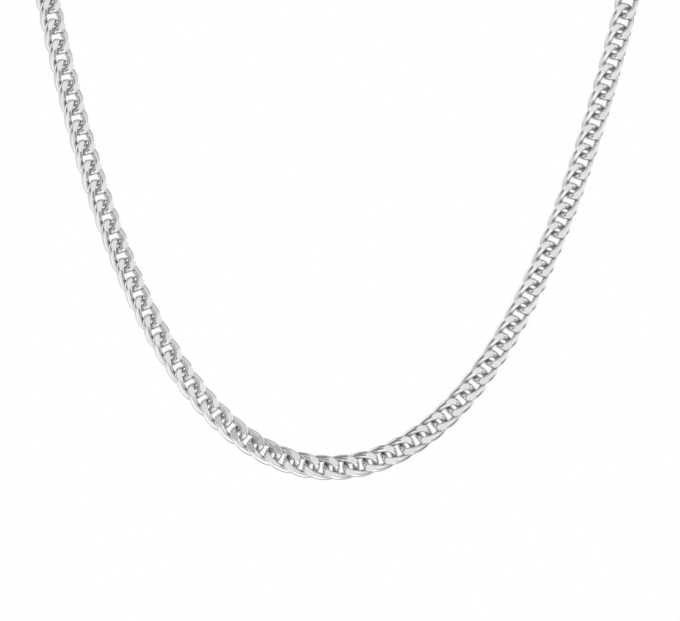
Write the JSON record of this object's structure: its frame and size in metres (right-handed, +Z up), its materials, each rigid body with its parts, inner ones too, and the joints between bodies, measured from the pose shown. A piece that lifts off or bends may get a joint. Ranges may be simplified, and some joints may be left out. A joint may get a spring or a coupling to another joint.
{
  "type": "curb chain necklace",
  "caption": "Necklace of flat curb links, each an oval of twisted wire through the next, in a full loop held at the nape by a plain lobster clasp on jump rings.",
  "frame": {"origin": "middle of the clasp's inner face, where the necklace lies on the nape", "axes": "+X to the right seen from the front, -Y towards the front of the neck, +Z up"},
  "size_m": [0.1237, 0.0863, 0.1443],
  "materials": {
    "link_silver": "sterling silver, links filed flat and polished bright",
    "ring_silver": "sterling silver wire, tumbled bright",
    "clasp_silver": "sterling silver casting, polished with fine wear"
  },
  "bodies": {
    "root": {"chain_left": "link_silver", "chain_right": "link_silver", "jump_ring_left": "ring_silver", "jump_ring_right": "ring_silver", "lobster_clasp": "clasp_silver"}
  },
  "joints": []
}
